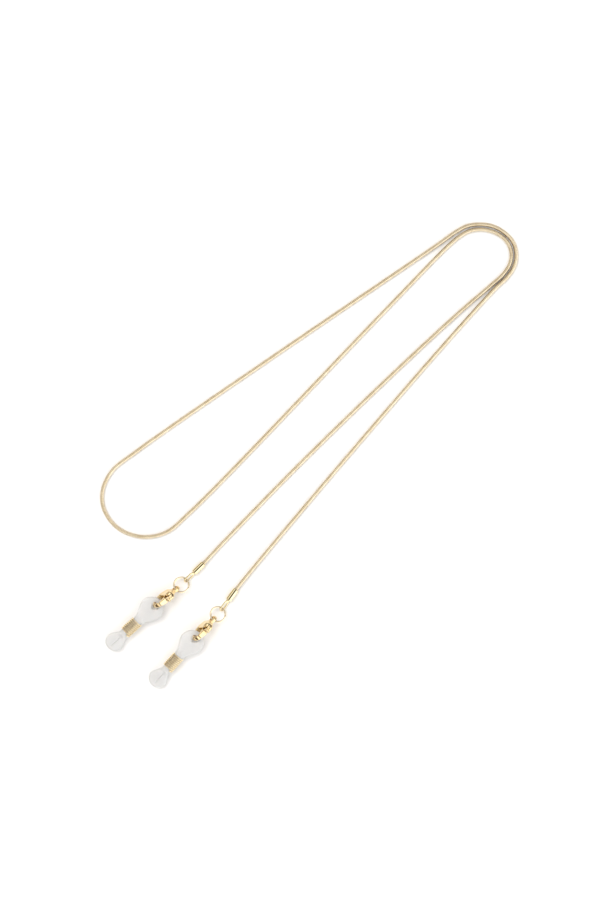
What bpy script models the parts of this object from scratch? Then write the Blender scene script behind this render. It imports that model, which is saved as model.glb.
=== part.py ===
"""Eyeglasses chain strap: a gold snake chain with a silicone temple grip hooked on each end.

The strap lies on a table, the plane z = 0, as it is laid out to be shown. +Y runs up the layout
and +X to its right. The origin is on the table, between the two grips. Units are metres.

In each end's own frames +X runs from the chain out to the grip's tip, and +Z points up.
"""

from math import cos, pi, radians, sin

import bmesh
import bpy
from mathutils import Matrix, Vector

MM = 0.001

# Chain
CHAIN_R = 0.70 * MM
CHAIN_REST_Z = 0.72 * MM
CHAIN_IN_CAP = 3.0 * MM
CHAIN_STRAIGHT_AT_CAP = 0.6 * MM
CHAIN_STEP_BENT = 2.9 * MM
CHAIN_STEP_STRAIGHT = 15.0 * MM
CHAIN_BEND_PER_STEP = radians(13)

# The way the chain lies from the left end cap to the right one, x and y in millimetres.
CHAIN_ROUTE_MM = (
    (17.4, 28.1), (45.5, 56.9), (78.0, 88.4), (102.0, 110.6), (112.7, 119.8),
    (117.1, 123.8), (119.4, 127.3), (120.0, 131.0), (119.0, 134.4), (116.5, 137.2),
    (112.9, 139.0), (109.0, 139.6), (105.2, 139.0), (101.8, 137.1), (97.6, 133.6),
    (73.8, 109.2), (6.7, 39.8), (-1.9, 32.7), (-10.3, 31.2), (-18.6, 34.2),
    (-23.6, 40.8), (-24.1, 47.6), (-20.8, 54.4), (-12.7, 60.9), (38.5, 96.4),
    (94.6, 134.6), (100.2, 138.6), (104.4, 140.8), (109.1, 141.4), (113.6, 140.7),
    (117.6, 138.5), (120.6, 135.2), (121.8, 131.0), (121.1, 126.7), (118.6, 122.8),
    (114.4, 118.8), (94.9, 97.3), (52.6, 48.2),
)

# End cap: a tube crimped over the chain, with an eye for the jump ring
CAP_R = 1.10 * MM
CAP_BORE_R = 0.85 * MM
CAP_BORE_DEPTH = 3.4 * MM
CAP_LENGTH = 4.6 * MM
CAP_NOSE = 1.4 * MM
CAP_EYE_WIRE_R = 0.28 * MM
CAP_EYE_R = 0.90 * MM
CAP_EYE_STRAIGHT = 2.20 * MM
CAP_EYE_ROLL = radians(35)
CAP_RISE = radians(1.5)
CAP_MOUTH_Z = 1.12 * MM
RING_FROM_MOUTH = CAP_LENGTH + CAP_NOSE + CAP_EYE_STRAIGHT

# Jump ring
RING_WIRE_R = 0.38 * MM
RING_R = 2.62 * MM
RING_SPLIT = radians(1.6)
RING_SPLIT_AT = radians(112)
RING_RISE = radians(15)

# Lobster clasp, along its length u, its height v and its thickness w
CLASP_HALF_THICK = 1.40 * MM
CLASP_EYE_HALF_THICK = 0.65 * MM
CLASP_BOW_HALF_THICK = 0.92 * MM
CLASP_TIP_HALF_THICK = 0.50 * MM
CLASP_CHAMFER = 0.30 * MM
CLASP_EYE_R = 1.50 * MM
CLASP_EYE_HOLE_R = 0.95 * MM
CLASP_LEAN = radians(-20)
CLASP_RISE = radians(6)
BOW_U = 9.15 * MM
PIVOT_U = 3.0 * MM
PIVOT_V = 1.2 * MM
KNUCKLE_R = 1.0 * MM
LEVER_HALF_THICK = 0.50 * MM
LEVER_CHAMFER = 0.12 * MM
BLADE_HALF_THICK = 1.00 * MM
THUMB_PAD_HALF_THICK = 0.85 * MM
THUMB_PAD_CHAMFER = 0.25 * MM
SLOT_HALF_WIDTH = 0.60 * MM
RIVET_R = 0.40 * MM
RIVET_HEAD_R = 0.65 * MM
RIVET_HEAD_THICK = 0.20 * MM
RIVET_HEAD_CHAMFER = 0.10 * MM
RUNNING_GAP = 0.05 * MM
SPRING_U = 4.2 * MM
SPRING_FOOT_V = -0.92 * MM
SPRING_TOP_V = 0.50 * MM
SPRING_R = 0.32 * MM
SPRING_WIRE_R = 0.08 * MM
SPRING_TURNS = 4

# Temple grip, one moulding: leaf, neck and temple lobe
LEAF_LENGTH = 11.0 * MM
GRIP_HALF_THICK = 0.86 * MM
GRIP_CHAMFER = 0.40 * MM
NECK_R = 1.60 * MM
NECK_IN_LEAF = 2.2 * MM
NECK_IN_LOBE = 2.2 * MM
RIM_WIDTH = 1.70 * MM
TEMPLE_SLIT_LENGTH = 4.4 * MM
TEMPLE_SLIT_WIDTH = 0.35 * MM
SLIT_FROM_COIL = 2.6 * MM
GRIP_DROP = radians(3.5)
GRIP_ROLL = radians(-10)
GRIP_ON_HOOK = 2.70 * MM
GRIP_BELOW_CLASP = 0.47 * MM

# Adjusting coil on the neck
COIL_WIRE_R = 0.25 * MM
COIL_R = 2.00 * MM
COIL_PITCH = 0.70 * MM
COIL_TURNS = 8.2
COIL_LENGTH = 6.2 * MM
COIL_START = LEAF_LENGTH + COIL_WIRE_R + RUNNING_GAP
COIL_POINTS_PER_TURN = 14

# Each end: where the cap's mouth is, and which way its cap, clasp and grip point in plan
ENDS = (
    {"side": "left", "mouth": (11.44 * MM, 21.82 * MM), "cap": 224.3, "clasp": 218.0, "grip": 222.5},
    {"side": "right", "mouth": (22.94 * MM, 12.61 * MM), "cap": 234.0, "clasp": 226.0, "grip": 228.0},
)


# ---------------------------------------------------------------- helpers


def clear_scene():
    for obj in list(bpy.data.objects):
        bpy.data.objects.remove(obj, do_unlink=True)


def material(name, color, roughness, metallic, transmission=0.0):
    made = bpy.data.materials.get(name)
    if made:
        return made
    made = bpy.data.materials.new(name)
    made.use_nodes = True
    shader = made.node_tree.nodes["Principled BSDF"]
    shader.inputs["Base Color"].default_value = (*color, 1.0)
    shader.inputs["Roughness"].default_value = roughness
    shader.inputs["Metallic"].default_value = metallic
    shader.inputs["Transmission Weight"].default_value = transmission
    made.diffuse_color = (*color, 1.0)
    return made


def chain_gold():
    return material("chain_gold", (0.83, 0.62, 0.28), 0.28, 1.0)


def cap_gold():
    return material("cap_gold", (0.88, 0.67, 0.30), 0.16, 1.0)


def ring_gold():
    return material("ring_gold", (0.90, 0.74, 0.42), 0.14, 1.0)


def clasp_gold():
    return material("clasp_gold", (0.90, 0.68, 0.28), 0.15, 1.0)


def spring_steel():
    return material("spring_steel", (0.55, 0.55, 0.56), 0.30, 1.0)


def coil_gold():
    return material("coil_gold", (0.86, 0.66, 0.32), 0.20, 1.0)


def silicone():
    return material("clear_silicone", (0.88, 0.88, 0.87), 0.35, 0.0, 0.4)


def link(obj, parent=None):
    bpy.context.scene.collection.objects.link(obj)
    obj.parent = parent
    return obj


def empty(name, parent, at, turn=(0.0, 0.0, 0.0)):
    """A frame at a place in its parent's, turned about Z, then Y, then X."""
    frame = link(bpy.data.objects.new(name, None), parent)
    frame.location = at
    frame.rotation_mode = "XYZ"
    frame.rotation_euler = turn
    frame.empty_display_size = 2 * MM
    return frame


def mesh_object(name, bm, finish, parent, sharp=radians(40)):
    mesh = bpy.data.meshes.new(name)
    bmesh.ops.recalc_face_normals(bm, faces=bm.faces)
    bm.to_mesh(mesh)
    bm.free()
    mesh.shade_smooth()
    mesh.set_sharp_from_angle(angle=sharp)
    if finish:
        mesh.materials.append(finish)
    return link(bpy.data.objects.new(name, mesh), parent)


def wire(name, points, radius, finish, parent, sides=8, closed=False):
    """A round wire through the points, with flat ends."""
    curve = bpy.data.curves.new(name, "CURVE")
    curve.dimensions = "3D"
    curve.bevel_depth = radius
    curve.bevel_resolution = (sides - 4) // 2
    curve.use_fill_caps = True
    spline = curve.splines.new("POLY")
    spline.points.add(len(points) - 1)
    for node, point in zip(spline.points, points):
        node.co = (*point, 1.0)
    spline.use_cyclic_u = closed
    spline.use_smooth = True
    if finish:
        curve.materials.append(finish)
    return link(bpy.data.objects.new(name, curve), parent)


def baked_wire(name, points, radius, parent, sides=8, closed=False):
    """The same wire as a mesh, for a Boolean to use."""
    guide = wire(name + "_line", points, radius, None, None, sides, closed)
    mesh = bpy.data.meshes.new_from_object(guide)
    bpy.data.objects.remove(guide, do_unlink=True)
    bm = bmesh.new()
    bm.from_mesh(mesh)
    bmesh.ops.remove_doubles(bm, verts=bm.verts, dist=1e-6)
    return mesh_object(name, bm, None, parent)


def helper(obj):
    obj.hide_render = True
    obj.display_type = "WIRE"
    return obj


def boolean(obj, other, operation):
    cut = obj.modifiers.new(operation.lower(), "BOOLEAN")
    cut.operation = operation
    cut.object = helper(other)
    cut.solver = "EXACT"


def turned(name, profile, finish, parent, steps=20):
    """A turned piece: (x, radius) points from one end of its axis X to the other."""
    bm = bmesh.new()
    verts = [bm.verts.new((x, 0.0, r)) for x, r in profile]
    edges = [bm.edges.new(pair) for pair in zip(verts, verts[1:])]
    bmesh.ops.spin(
        bm, geom=verts + edges, cent=(0, 0, 0), axis=(1, 0, 0), angle=2 * pi, steps=steps
    )
    bmesh.ops.remove_doubles(bm, verts=bm.verts, dist=1e-6)
    return mesh_object(name, bm, finish, parent)


def slab(name, outline, half_thick, chamfer, finish, parent, up="z"):
    """A flat outline thickened to both sides of its plane, its edges chamfered.

    The outline lies in the plane XY, or in XZ where up is "y", the direction of the thickness.
    """
    bm = bmesh.new()
    face = bm.faces.new([bm.verts.new((x, y, chamfer - half_thick)) for x, y in outline])
    grown = bmesh.ops.extrude_face_region(bm, geom=[face])
    top = [v for v in grown["geom"] if isinstance(v, bmesh.types.BMVert)]
    bmesh.ops.translate(bm, verts=top, vec=(0, 0, 2 * (half_thick - chamfer)))
    bmesh.ops.recalc_face_normals(bm, faces=bm.faces)
    if chamfer:
        caps = [f for f in bm.faces if len(f.verts) == len(outline)]
        bmesh.ops.inset_region(bm, faces=caps, thickness=chamfer, depth=chamfer)
    if up == "y":
        bmesh.ops.transform(bm, matrix=Matrix.Rotation(radians(90), 4, "X"), verts=bm.verts)
    return mesh_object(name, bm, finish, parent, sharp=radians(30))


def smooth_curve(points, steps=12):
    """Points along a smooth curve through all of the given ones (centripetal Catmull-Rom)."""
    ends = [2 * points[0] - points[1], *points, 2 * points[-1] - points[-2]]
    found = []
    for before, start, end, after in zip(ends, ends[1:], ends[2:], ends[3:]):
        t0 = (start - before).length ** 0.5
        t1 = (end - start).length ** 0.5
        t2 = (after - end).length ** 0.5
        leave = end - start + t1 * ((start - before) / t0 - (end - before) / (t0 + t1))
        arrive = end - start + t1 * ((after - end) / t2 - (after - start) / (t1 + t2))
        for k in range(steps):
            t = k / steps
            found.append(
                (2 * t**3 - 3 * t**2 + 1) * start
                + (t**3 - 2 * t**2 + t) * leave
                + (3 * t**2 - 2 * t**3) * end
                + (t**3 - t**2) * arrive
            )
    return found + [points[-1]]


def thinned(points, bent, straight, bend):
    """Fewer points of a fine curve: close together where it bends, far apart where it is straight."""
    kept, gone, turned_by = [points[0]], 0.0, 0.0
    for before, here, after in zip(points, points[1:], points[2:]):
        gone += (here - before).length
        turned_by += (here - before).angle(after - here)
        if gone >= straight or (gone >= bent and turned_by >= bend):
            kept.append(here)
            gone, turned_by = 0.0, 0.0
    if (kept[-1] - points[-1]).length < bent / 2:
        kept.pop()
    return kept + [points[-1]]


def arc(cx, cy, radius, start, end, count):
    """Points on an arc, angles in degrees."""
    angles = [radians(start + (end - start) * k / (count - 1)) for k in range(count)]
    return [(cx + radius * cos(a), cy + radius * sin(a)) for a in angles]


def smooth_outline(points, steps=3):
    """An open outline of (x, y) points in millimetres, smoothed, in metres."""
    fine = smooth_curve([Vector((x, y, 0.0)) * MM for x, y in points], steps)
    return [(p.x, p.y) for p in fine]


def mirrored(half):
    """A closed outline from its upper half, which runs from one end of the X axis to the other."""
    return half + [(x, -y) for x, y in reversed(half[1:-1])]


# ---------------------------------------------------------------- end cap


def end_cap(side, frame):
    eye_near = CAP_LENGTH + CAP_NOSE
    profile = [
        (CAP_BORE_DEPTH, 0.0),
        (CAP_BORE_DEPTH, CAP_BORE_R),
        (0.0, CAP_BORE_R),
        (0.0, CAP_R - 0.12 * MM),
        (0.12 * MM, CAP_R),
        (CAP_LENGTH - 0.5 * MM, CAP_R),
        (CAP_LENGTH, 0.8 * MM),
        (CAP_LENGTH + 0.35 * MM, 0.6 * MM),
        (CAP_LENGTH + 0.75 * MM, 0.5 * MM),
        (CAP_LENGTH + 0.9 * MM, 0.0),
    ]
    cap = turned(side + "_end_cap", profile, cap_gold(), frame)
    far = arc(eye_near + CAP_EYE_STRAIGHT, 0.0, CAP_EYE_R, -90, 90, 9)
    near = arc(eye_near, 0.0, CAP_EYE_R, 90, 270, 9)
    tilt = Matrix.Rotation(CAP_EYE_ROLL, 3, "X")
    loop = [tilt @ Vector((x, 0.0, y)) for x, y in far + near]
    boolean(cap, baked_wire(side + "_cap_eye", loop, CAP_EYE_WIRE_R, frame, closed=True), "UNION")
    return cap


# ---------------------------------------------------------------- jump ring


def jump_ring(side, pivot):
    """The ring hangs from its pivot, which is on its wire, and its centre is one radius along X."""
    sweep = 2 * pi - RING_SPLIT
    count = 40
    start = RING_SPLIT_AT + RING_SPLIT / 2
    angles = [start + sweep * k / (count - 1) for k in range(count)]
    points = [(RING_R + RING_R * cos(a), RING_R * sin(a), 0.0) for a in angles]
    return wire(side + "_jump_ring", points, RING_WIRE_R, ring_gold(), pivot)


# ---------------------------------------------------------------- lobster clasp


def clasp_thickness(u):
    """Half the clasp's thickness at a place along it."""
    stops = (
        (1.1 * MM, CLASP_EYE_HALF_THICK),
        (2.3 * MM, CLASP_HALF_THICK),
        (5.6 * MM, CLASP_HALF_THICK),
        (8.3 * MM, CLASP_BOW_HALF_THICK),
        (9.9 * MM, CLASP_TIP_HALF_THICK),
    )
    if u <= stops[0][0]:
        return stops[0][1]
    for (u0, t0), (u1, t1) in zip(stops, stops[1:]):
        if u <= u1:
            return t0 + (t1 - t0) * (u - u0) / (u1 - u0)
    return stops[-1][1]


def shape_thickness(obj, half_thick):
    """Thins a slab's thickness along Y to the clasp's own."""
    for vert in obj.data.vertices:
        vert.co.y *= clasp_thickness(vert.co.x) / half_thick


def clasp_body(side, frame):
    """The eye, the two cheeks, the lower arm and the hook, one casting."""
    lower = smooth_outline(
        ((7.78, 2.48), (8.6, 2.1), (9.35, 1.4), (9.8, 0.55), (9.9, -0.3), (9.6, -1.2), (8.9, -2.05),
         (7.9, -2.65), (6.6, -3.0), (5.2, -3.0), (3.9, -2.7), (2.8, -2.25), (1.9, -1.7), (1.15, -1.1))
    )
    eye = arc(0.0, 0.0, CLASP_EYE_R, -60, -300, 13)
    upper = smooth_outline(((1.15, 1.1), (1.7, 1.6), (2.4, 2.1), (3.2, 2.2), (4.0, 2.0), (4.55, 1.4)))
    opening = smooth_outline(
        ((4.75, 0.5), (5.1, -0.6), (5.5, -1.4), (6.3, -1.72), (7.3, -1.7), (8.05, -1.5), (8.38, -0.9),
         (8.42, 0.4), (8.2, 1.25), (7.8, 1.8))
    )
    outline = lower + eye[1:-1] + upper + opening
    body = slab(side + "_clasp_body", outline, CLASP_HALF_THICK, CLASP_CHAMFER, clasp_gold(), frame, "y")
    shape_thickness(body, CLASP_HALF_THICK)
    across = 3 * CLASP_HALF_THICK
    eye_hole = slab(
        side + "_eye_cutter", arc(0.0, 0.0, CLASP_EYE_HOLE_R, 0, 345, 24), across, 0.0, None, frame, "y"
    )
    boolean(body, eye_hole, "DIFFERENCE")
    slot_outline = [
        (x * MM, y * MM)
        for x, y in (
            (1.85, 3.0), (1.85, 0.3), (2.3, -0.05), (3.72, -0.05), (3.72, -1.05),
            (4.6, -1.05), (4.6, 0.3), (5.4, 0.3), (5.4, 3.0),
        )
    ]
    slot = slab(side + "_slot_cutter", slot_outline, SLOT_HALF_WIDTH, 0.0, None, frame, "y")
    boolean(body, slot, "DIFFERENCE")
    hole = arc(PIVOT_U, PIVOT_V, RIVET_R + RUNNING_GAP, 0, 345, 24)
    boolean(body, slab(side + "_rivet_cutter", hole, across, 0.0, None, frame, "y"), "DIFFERENCE")
    return body


def from_pivot(outline):
    """An outline given from the clasp's own origin, moved to the rivet's axis."""
    return [(x - PIVOT_U, y - PIVOT_V) for x, y in outline]


def clasp_trigger(side, pivot):
    """The sprung lever with its thumb tab. Its frame's origin is on the rivet's axis."""
    knuckle = arc(PIVOT_U, PIVOT_V, KNUCKLE_R, 100, 290, 12)
    arm = [
        (3.6, 0.62), (4.5, 0.62), (5.3, 1.35), (5.6, 2.4), (4.9, 3.2),
        (4.6, 3.9), (4.2, 4.1), (3.8, 3.8), (3.5, 2.9),
    ]
    narrow = from_pivot(knuckle + [(x * MM, y * MM) for x, y in arm])
    trigger = slab(
        side + "_clasp_trigger", narrow, LEVER_HALF_THICK, LEVER_CHAMFER, clasp_gold(), pivot, "y"
    )
    blade = smooth_outline(
        ((4.9, 1.0), (5.3, 1.45), (6.0, 1.82), (6.9, 1.95), (7.66, 1.88),
         (7.62, 2.52), (6.8, 2.82), (5.8, 3.02), (4.95, 3.08)), 2
    )
    wide = slab(side + "_blade", from_pivot(blade), BLADE_HALF_THICK, THUMB_PAD_CHAMFER, None, pivot, "y")
    for vert in wide.data.vertices:
        vert.co.y *= clasp_thickness(vert.co.x + PIVOT_U) / CLASP_HALF_THICK
    boolean(trigger, wide, "UNION")
    tab = smooth_outline(
        ((4.75, 3.05), (4.75, 3.6), (4.5, 4.1), (4.15, 4.25), (3.8, 4.0), (3.65, 3.5), (3.7, 3.0))
    )
    pad = slab(
        side + "_thumb_pad", from_pivot(tab), THUMB_PAD_HALF_THICK, THUMB_PAD_CHAMFER, None, pivot, "y"
    )
    boolean(trigger, pad, "UNION")
    hole = arc(0.0, 0.0, RIVET_R + RUNNING_GAP, 0, 345, 24)
    bore = slab(side + "_knuckle_cutter", hole, 2 * LEVER_HALF_THICK, 0.0, None, pivot, "y")
    boolean(trigger, bore, "DIFFERENCE")
    return trigger


def clasp_rivet(side, pivot):
    half = CLASP_HALF_THICK + RUNNING_GAP
    head = half + RIVET_HEAD_THICK
    profile = [
        (-head, 0.0), (-head, RIVET_HEAD_R - RIVET_HEAD_CHAMFER),
        (-head + RIVET_HEAD_CHAMFER, RIVET_HEAD_R),
        (-half, RIVET_HEAD_R), (-half, RIVET_R), (half, RIVET_R),
        (half, RIVET_HEAD_R), (head - RIVET_HEAD_CHAMFER, RIVET_HEAD_R),
        (head, RIVET_HEAD_R - RIVET_HEAD_CHAMFER), (head, 0.0),
    ]
    rivet = turned(side + "_clasp_rivet", profile, clasp_gold(), pivot, steps=16)
    rivet.rotation_euler = (0.0, 0.0, radians(90))
    return rivet


def clasp_spring(side, frame):
    """The small compression spring in its pocket, which holds the lever shut."""
    steps = 10 * SPRING_TURNS
    rise = SPRING_TOP_V - SPRING_FOOT_V
    points = []
    for k in range(steps + 1):
        turn = 2 * pi * SPRING_TURNS * k / steps
        points.append(
            (SPRING_U + SPRING_R * cos(turn), SPRING_R * sin(turn), SPRING_FOOT_V + rise * k / steps)
        )
    return wire(side + "_clasp_spring", points, SPRING_WIRE_R, spring_steel(), frame, sides=6)


# ---------------------------------------------------------------- temple grip and its coil


def temple_grip(side, frame):
    """One silicone moulding, its X axis from the leaf's rim to the lobe's tip."""
    leaf_half = smooth_outline(
        ((0.0, 0.0), (0.3, 1.5), (1.1, 2.8), (2.4, 3.8), (4.2, 4.35), (5.8, 4.15), (7.4, 3.35),
         (9.2, 2.3), (10.9, 1.7)), 2
    )
    leaf = slab(
        side + "_temple_grip",
        mirrored(leaf_half + [(LEAF_LENGTH + 0.2 * MM, 0.0)]),
        GRIP_HALF_THICK, GRIP_CHAMFER, silicone(), frame,
    )
    lobe_start = LEAF_LENGTH + COIL_LENGTH
    lobe_half = smooth_outline(
        ((0.9, 0.0), (1.1, 1.5), (2.2, 2.2), (3.4, 3.0), (4.6, 3.35), (5.9, 3.2), (7.0, 2.45), (7.7, 1.3),
         (8.0, 0.0)), 2
    )
    lobe_outline = mirrored([(lobe_start + x, y) for x, y in lobe_half])
    lobe = slab(side + "_lobe", lobe_outline, GRIP_HALF_THICK, GRIP_CHAMFER, None, frame)
    boolean(leaf, lobe, "UNION")
    neck_profile = [
        (LEAF_LENGTH - NECK_IN_LEAF, 0.0), (LEAF_LENGTH - NECK_IN_LEAF, 0.5 * MM),
        (LEAF_LENGTH - 0.1 * MM, NECK_R), (lobe_start + 1.2 * MM, NECK_R),
        (lobe_start + NECK_IN_LOBE, 0.8 * MM), (lobe_start + NECK_IN_LOBE, 0.0),
    ]
    boolean(leaf, turned(side + "_neck", neck_profile, None, frame, steps=16), "UNION")
    through = 3 * GRIP_HALF_THICK
    hook_hole = smooth_outline(
        ((0.0, 0.0), (0.05, 0.75), (0.3, 1.3), (0.8, 1.5), (1.4, 1.4), (2.0, 0.95), (2.4, 0.45),
         (2.6, 0.0)), 2
    )
    hole_outline = mirrored([(RIM_WIDTH + x, y) for x, y in hook_hole])
    boolean(leaf, slab(side + "_hook_cutter", hole_outline, through, 0.0, None, frame), "DIFFERENCE")
    half_slit = TEMPLE_SLIT_WIDTH / 2
    slit_near = lobe_start + SLIT_FROM_COIL
    slit_far = slit_near + TEMPLE_SLIT_LENGTH - TEMPLE_SLIT_WIDTH
    slit = arc(slit_far, 0.0, half_slit, -90, 90, 7) + arc(slit_near, 0.0, half_slit, 90, 270, 7)
    boolean(leaf, slab(side + "_slit_cutter", slit, through, 0.0, None, frame), "DIFFERENCE")
    return leaf


def adjusting_coil(side, frame):
    """Close-wound wire on the neck. Its object's origin is where the winding starts, on its axis."""
    steps = round(COIL_POINTS_PER_TURN * COIL_TURNS)
    points = []
    for k in range(steps + 1):
        turn = 2 * pi * k / COIL_POINTS_PER_TURN
        along = COIL_PITCH * k / COIL_POINTS_PER_TURN
        points.append((along, COIL_R * cos(turn), COIL_R * sin(turn)))
    coil = wire(side + "_adjusting_coil", points, COIL_WIRE_R, coil_gold(), frame, sides=6)
    coil.location = (COIL_START, 0.0, 0.0)
    return coil


# ---------------------------------------------------------------- assembly


def strap_end(end):
    """One end of the strap, from the cap's mouth out to the grip's tip. Returns the cap's frame."""
    side = end["side"]
    cap_turn, clasp_turn, grip_turn = (radians(end[k]) for k in ("cap", "clasp", "grip"))
    cap_frame = empty(side + "_cap_frame", None, (*end["mouth"], CAP_MOUTH_Z), (0.0, -CAP_RISE, cap_turn))
    end_cap(side, cap_frame)

    ring_pivot = empty(
        side + "_ring_pivot", cap_frame, (RING_FROM_MOUTH, 0.0, 0.0), (0.0, CAP_RISE - RING_RISE, 0.0)
    )
    jump_ring(side, ring_pivot)

    clasp_swivel = empty(
        side + "_clasp_swivel", ring_pivot, (RING_R, 0.0, 0.0), (0.0, 0.0, clasp_turn - cap_turn)
    )
    clasp_frame = empty(
        side + "_clasp_frame", clasp_swivel, (RING_R, 0.0, 0.0), (CLASP_LEAN, RING_RISE - CLASP_RISE, 0.0)
    )
    clasp_body(side, clasp_frame)
    clasp_spring(side, clasp_frame)
    trigger_pivot = empty(side + "_trigger_pivot", clasp_frame, (PIVOT_U, 0.0, PIVOT_V))
    clasp_trigger(side, trigger_pivot)
    clasp_rivet(side, trigger_pivot)

    bpy.context.view_layer.update()
    hook = clasp_frame.matrix_world @ Vector((BOW_U, 0.0, 0.0))
    grip_pivot = empty(
        side + "_grip_pivot", None, hook - Vector((0.0, 0.0, GRIP_BELOW_CLASP)), (GRIP_ROLL, 0.0, grip_turn)
    )
    grip_frame = empty(side + "_grip_frame", grip_pivot, (0.0, 0.0, 0.0), (0.0, GRIP_DROP, 0.0))
    moulding = empty(side + "_moulding_frame", grip_frame, (-GRIP_ON_HOOK, 0.0, 0.0))
    temple_grip(side, moulding)
    adjusting_coil(side, moulding)
    return cap_frame


def snake_chain(left_cap, right_cap):
    bpy.context.view_layer.update()
    inside = Vector((CHAIN_IN_CAP, 0.0, 0.0))
    outside = Vector((-CHAIN_STRAIGHT_AT_CAP, 0.0, 0.0))
    middle = [Vector((x * MM, y * MM, CHAIN_REST_Z)) for x, y in CHAIN_ROUTE_MM]
    route = [
        left_cap.matrix_world @ inside,
        left_cap.matrix_world @ outside,
        *middle,
        right_cap.matrix_world @ outside,
        right_cap.matrix_world @ inside,
    ]
    curve = smooth_curve(route)
    for point in curve:
        point.z = max(point.z, CHAIN_REST_Z)
    points = thinned(curve, CHAIN_STEP_BENT, CHAIN_STEP_STRAIGHT, CHAIN_BEND_PER_STEP)
    wire("snake_chain", points, CHAIN_R, chain_gold(), None)


def main():
    clear_scene()
    left_cap, right_cap = (strap_end(end) for end in ENDS)
    snake_chain(left_cap, right_cap)


main()
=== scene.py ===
"""The looks of an eyeglasses chain strap: a gold snake chain with a silicone grip hooked on each end.

The strap lies on a pale table, the plane z = 0, seen from straight above. Metres, +Y up the layout.
In each end's own frames +X runs from the chain out to the grip's tip, and +Z points up. The shapes
of the small pieces are worked out in millimetres in those frames.
"""

from math import cos, pi, radians, sin

import bpy
import numpy as np
from mathutils import Euler, Matrix, Vector


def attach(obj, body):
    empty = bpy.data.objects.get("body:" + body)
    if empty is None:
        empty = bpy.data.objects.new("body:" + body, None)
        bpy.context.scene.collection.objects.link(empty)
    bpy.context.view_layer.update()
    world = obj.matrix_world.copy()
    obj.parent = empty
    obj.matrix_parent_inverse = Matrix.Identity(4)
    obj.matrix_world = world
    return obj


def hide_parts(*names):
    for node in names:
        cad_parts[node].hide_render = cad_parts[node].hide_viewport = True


MM = 0.001

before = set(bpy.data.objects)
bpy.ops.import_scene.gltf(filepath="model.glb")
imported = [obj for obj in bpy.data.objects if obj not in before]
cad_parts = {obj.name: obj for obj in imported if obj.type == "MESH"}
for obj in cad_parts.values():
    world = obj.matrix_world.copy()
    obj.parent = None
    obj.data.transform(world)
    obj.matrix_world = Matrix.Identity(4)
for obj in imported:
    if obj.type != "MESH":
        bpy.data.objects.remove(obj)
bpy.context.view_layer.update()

# Chain
CHAIN_R = 0.70
CHAIN_REST_Z = 0.72
CHAIN_IN_CAP = 3.0
CHAIN_STRAIGHT_AT_CAP = 0.6
LINK_PITCH = 0.60
LINK_WAVE = 0.17
LINK_WAVES = 5
CHAIN_SIDES = 20
CHAIN_CURVE_STEPS = 240
CHAIN_STEP = 0.1

# One link's groove, rise and crown: the share of the link gone, and of the chain's radius there.
LINK_PROFILE = ((0.0, 0.80), (0.20, 0.985), (0.58, 1.0), (0.86, 0.93))

# The way the chain lies from the left end cap to the right one, x and y in millimetres.
CHAIN_ROUTE = (
    (17.4, 28.1), (45.5, 56.9), (78.0, 88.4), (102.0, 110.6), (112.7, 119.8),
    (117.1, 123.8), (119.4, 127.3), (120.0, 131.0), (119.0, 134.4), (116.5, 137.2),
    (112.9, 139.0), (109.0, 139.6), (105.2, 139.0), (101.8, 137.1), (97.6, 133.6),
    (73.8, 109.2), (6.7, 39.8), (-1.9, 32.7), (-10.3, 31.2), (-18.6, 34.2),
    (-23.6, 40.8), (-24.1, 47.6), (-20.8, 54.4), (-12.7, 60.9), (38.5, 96.4),
    (94.6, 134.6), (100.2, 138.6), (104.4, 140.8), (109.1, 141.4), (113.6, 140.7),
    (117.6, 138.5), (120.6, 135.2), (121.8, 131.0), (121.1, 126.7), (118.6, 122.8),
    (114.4, 118.8), (94.9, 97.3), (52.6, 48.2),
)

# End cap
CAP_R = 1.10
CAP_BORE_R = 0.85
CAP_BORE_DEPTH = 3.4
CAP_LENGTH = 4.6
CAP_NOSE = 1.4
CAP_EYE_WIRE_R = 0.28
CAP_EYE_R = 0.90
CAP_EYE_STRAIGHT = 2.20
CAP_EYE_ROLL = radians(35)
CAP_RISE = radians(1.5)
CAP_MOUTH_Z = 1.12
CAP_EDGE_R = 0.16
CAP_CELL = 0.075
RING_FROM_MOUTH = CAP_LENGTH + CAP_NOSE + CAP_EYE_STRAIGHT

# Jump ring
RING_WIRE_R = 0.38
RING_R = 2.62
RING_SPLIT = radians(1.6)
RING_SPLIT_AT = radians(112)
RING_RISE = radians(15)
RING_STEPS = 120
RING_SIDES = 20

# Lobster clasp
CLASP_LEAN = radians(-20)
CLASP_RISE = radians(6)
CLASP_EYE_R = 1.50
CLASP_EYE_HOLE_R = 0.95
CLASP_HALF_THICK = 1.40
CLASP_EDGE_R = 0.42
CLASP_CELL = 0.075
SLOT_HALF_WIDTH = 0.60
LEVER_HALF_THICK = 0.50
TAB_HALF_THICK = 0.85
LEVER_CELL = 0.06
BOW_U = 9.15
PIVOT_U = 3.0
PIVOT_V = 1.2
KNUCKLE_R = 1.0
RIVET_R = 0.40
RIVET_HEAD_R = 0.65
RIVET_HALF = 1.45
RIVET_HEAD_RISE = 0.20
RIVET_STEPS = 32
RUNNING_GAP = 0.05
SPRING_U = 4.2
SPRING_FOOT_V = -0.92
SPRING_TOP_V = 0.50
SPRING_R = 0.32
SPRING_WIRE_R = 0.08
SPRING_TURNS = 4
SPRING_STEPS = 24
SPRING_SIDES = 10

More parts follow.
